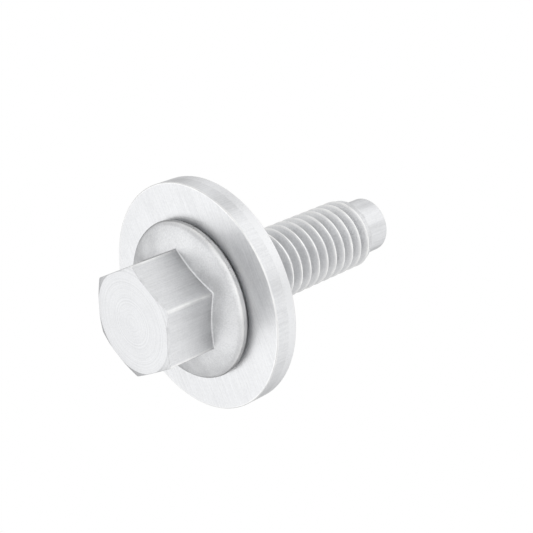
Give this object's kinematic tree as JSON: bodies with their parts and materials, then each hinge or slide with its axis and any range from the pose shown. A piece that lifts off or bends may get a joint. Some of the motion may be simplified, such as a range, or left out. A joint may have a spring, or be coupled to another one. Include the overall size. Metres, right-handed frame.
{
  "type": "flange screw",
  "caption": "Hexagon flange screw with a captive, freely turning plain washer and a pilot end that guides it into its hole.",
  "frame": {"origin": "centre of the hexagon's end face, on which the screw stands", "axes": "+Z along the screw from the head to the pilot, +X square to one flat of the hexagon"},
  "size_m": [0.018, 0.018, 0.0259],
  "materials": {
    "screw": "pale satin zinc coating",
    "washer": "pale satin zinc coating"
  },
  "bodies": {
    "screw": {"screw": "screw"},
    "washer": {"washer": "washer"}
  },
  "joints": [
    {"name": "washer_spin", "type": "hinge", "parent": "screw", "child": "washer", "pos_m": [0, 0, 0.00685], "axis": [0, 0, 1], "continuous": true}
  ]
}
